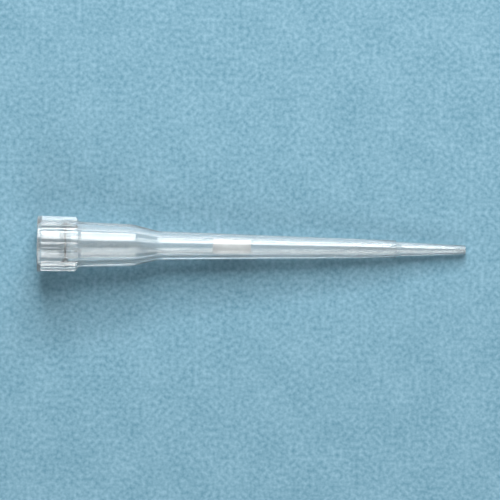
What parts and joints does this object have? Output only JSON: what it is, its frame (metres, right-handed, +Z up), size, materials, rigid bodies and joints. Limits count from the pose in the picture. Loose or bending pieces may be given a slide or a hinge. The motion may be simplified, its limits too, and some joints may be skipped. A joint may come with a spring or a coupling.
{
  "type": "filter pipette tip",
  "caption": "Slender clear plastic pipette tip with a ribbed collar, a tapered bore and a white porous filter in its barrel.",
  "frame": {"origin": "on the surface that the tip lies on, under the middle of its bounding box", "axes": "+X from the mouth towards the fine end, +Z up, with the tip lying as it comes to rest"},
  "size_m": [0.0542, 0.007, 0.0071],
  "materials": {
    "clear_polypropylene": "natural injection-moulded polypropylene, clear with a slight haze, smooth and glossy",
    "porous_polyethylene": "sintered porous polyethylene, white and matt with a fine grain"
  },
  "bodies": {
    "root": {"tip_body": "clear_polypropylene", "filter_plug": "porous_polyethylene"}
  },
  "joints": []
}
